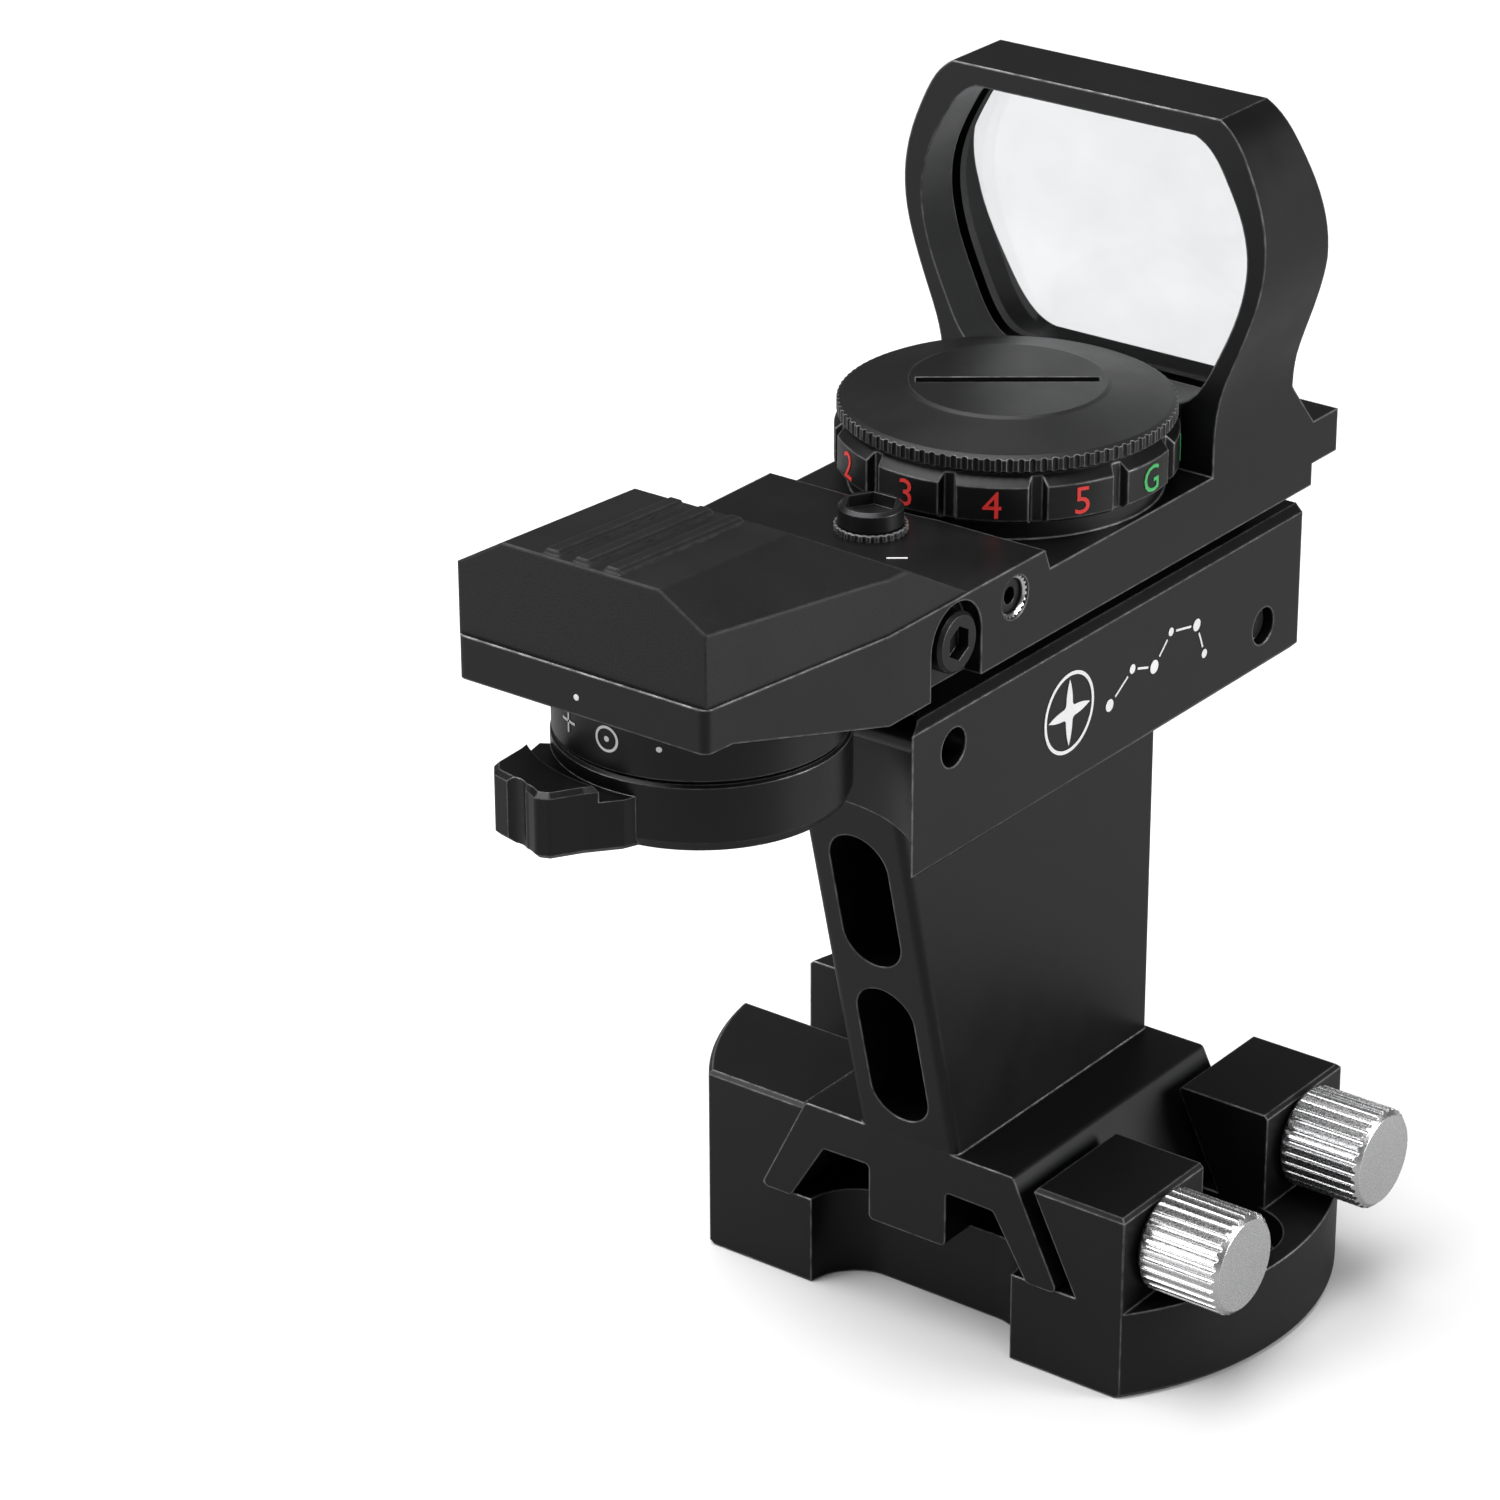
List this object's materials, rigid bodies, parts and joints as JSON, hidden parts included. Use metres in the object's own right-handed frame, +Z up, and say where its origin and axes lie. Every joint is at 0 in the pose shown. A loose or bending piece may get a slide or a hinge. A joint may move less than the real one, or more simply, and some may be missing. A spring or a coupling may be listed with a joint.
{
  "type": "reflex finder on a dovetail riser in a finder shoe",
  "caption": "Reflex finder with a framed lens, brightness dial and reticle turret on a tall dovetail riser, clamped in a finder shoe by thumbscrews.",
  "frame": {"origin": "centre of the shoe's middle hole on its underside", "axes": "+Z up, +Y the way the finder looks at the sky, +X the thumbscrew side"},
  "size_m": [0.0589, 0.0902, 0.1073],
  "materials": {
    "anodised": "black anodised, satin",
    "moulded_plastic": "fine-grained black moulding",
    "knurled_silver": "bright knurled",
    "bright_steel": "bright threaded steel",
    "black_steel": "black oxide",
    "spring_steel": "plain",
    "cell_steel": "nickel plated",
    "brass": "turned",
    "soft_rubber": "matt black",
    "coated_glass": "thinly coated, clear",
    "window_plastic": "clear",
    "led_epoxy": "moulded epoxy",
    "circuit_board": "green solder mask"
  },
  "bodies": {
    "shoe": {"shoe": "anodised"},
    "finder": {"riser": "anodised", "clamp_jaw": "anodised", "cross_bolts": "black_steel", "sight_frame": "anodised", "lens": "coated_glass", "lens_retainer": "soft_rubber", "emitter_cover": "moulded_plastic", "emitter_window": "window_plastic", "cover_screws": "black_steel", "elevation_bushing": "anodised", "elevation_spring": "spring_steel", "lock_screw": "black_steel", "carriage_plate": "moulded_plastic", "contact_board": "circuit_board", "dial_detent": "spring_steel", "turret_detent": "spring_steel"},
    "rear_thumb_shank": {"thumb_shank_rear": "bright_steel"},
    "front_thumb_shank": {"thumb_shank_front": "bright_steel"},
    "rear_thumb_head": {"thumb_head_rear": "knurled_silver"},
    "front_thumb_head": {"thumb_head_front": "knurled_silver"},
    "brightness_dial": {"dial_ring": "anodised", "dial_hub": "brass", "dial_clip": "spring_steel", "hub_screw": "black_steel", "cell_spring": "spring_steel", "coin_cell": "cell_steel"},
    "cap_seal": {"cap_oring": "soft_rubber"},
    "battery_cap": {"battery_cap": "anodised"},
    "reticle_turret": {"turret_ring": "anodised", "lever_disc": "anodised", "reticle_drum": "moulded_plastic", "turret_clip": "spring_steel", "turret_screws": "black_steel"},
    "windage_screw": {"windage_screw": "black_steel"},
    "windage_block": {"windage_block": "moulded_plastic", "pivot_pin": "spring_steel"},
    "elevation_screw": {"elevation_screw": "black_steel"},
    "emitter_yoke": {"emitter_yoke": "spring_steel", "led_board": "circuit_board", "led": "led_epoxy"}
  },
  "joints": [
    {"name": "finder_slide", "type": "slide", "parent": "shoe", "child": "finder", "axis": [0, 1, 0], "range_m": [-0.033, 0.033]},
    {"name": "rear_screw_advance", "type": "slide", "parent": "shoe", "child": "rear_thumb_shank", "axis": [1, 0, 0], "range_m": [0, 0.004]},
    {"name": "rear_screw_turn", "type": "hinge", "parent": "rear_thumb_shank", "child": "rear_thumb_head", "pos_m": [0.0265, -0.01135, 0.0134], "axis": [1, 0, 0], "range_deg": [0, 2055]},
    {"name": "front_screw_advance", "type": "slide", "parent": "shoe", "child": "front_thumb_shank", "axis": [1, 0, 0], "range_m": [0, 0.004]},
    {"name": "front_screw_turn", "type": "hinge", "parent": "front_thumb_shank", "child": "front_thumb_head", "pos_m": [0.0265, 0.01135, 0.0134], "axis": [1, 0, 0], "range_deg": [0, 2055]},
    {"name": "brightness_turn", "type": "hinge", "parent": "finder", "child": "brightness_dial", "pos_m": [0, -0.0046, 0.08], "axis": [0, 0, 1], "continuous": true},
    {"name": "cap_lift", "type": "slide", "parent": "brightness_dial", "child": "cap_seal", "axis": [0, 0, 1], "range_m": [0, 0.0025]},
    {"name": "cap_turn", "type": "hinge", "parent": "cap_seal", "child": "battery_cap", "pos_m": [0, -0.0046, 0.083], "axis": [0, 0, 1], "range_deg": [0, 1195]},
    {"name": "reticle_turn", "type": "hinge", "parent": "finder", "child": "reticle_turret", "pos_m": [0, -0.0465, 0.07], "axis": [0, 0, 1], "range_deg": [-22, 44]},
    {"name": "windage_turn", "type": "hinge", "parent": "finder", "child": "windage_screw", "pos_m": [0.012, -0.0314, 0.07405], "axis": [1, 0, 0], "range_deg": [-360, 360]},
    {"name": "windage_shift", "type": "slide", "parent": "finder", "child": "windage_block", "axis": [1, 0, 0], "range_m": [-0.00036, 0.00036]},
    {"name": "elevation_turn", "type": "hinge", "parent": "finder", "child": "elevation_screw", "pos_m": [0, -0.0239, 0.07845], "axis": [0, 0, 1], "range_deg": [-180, 180]},
    {"name": "elevation_tilt", "type": "hinge", "parent": "windage_block", "child": "emitter_yoke", "pos_m": [0, -0.0314, 0.07585], "axis": [1, 0, 0], "range_deg": [-1.01, 1.01]}
  ],
  "couplings": [
    {"joint": "rear_screw_advance", "follows": "rear_screw_turn", "m_per_rad": 0.00011141},
    {"joint": "front_screw_advance", "follows": "front_screw_turn", "m_per_rad": 0.00011141},
    {"joint": "cap_lift", "follows": "cap_turn", "m_per_rad": 0.00011937},
    {"joint": "windage_shift", "follows": "windage_turn", "m_per_rad": 0.000055704},
    {"joint": "elevation_tilt", "follows": "elevation_turn", "ratio": 0.0055556}
  ]
}
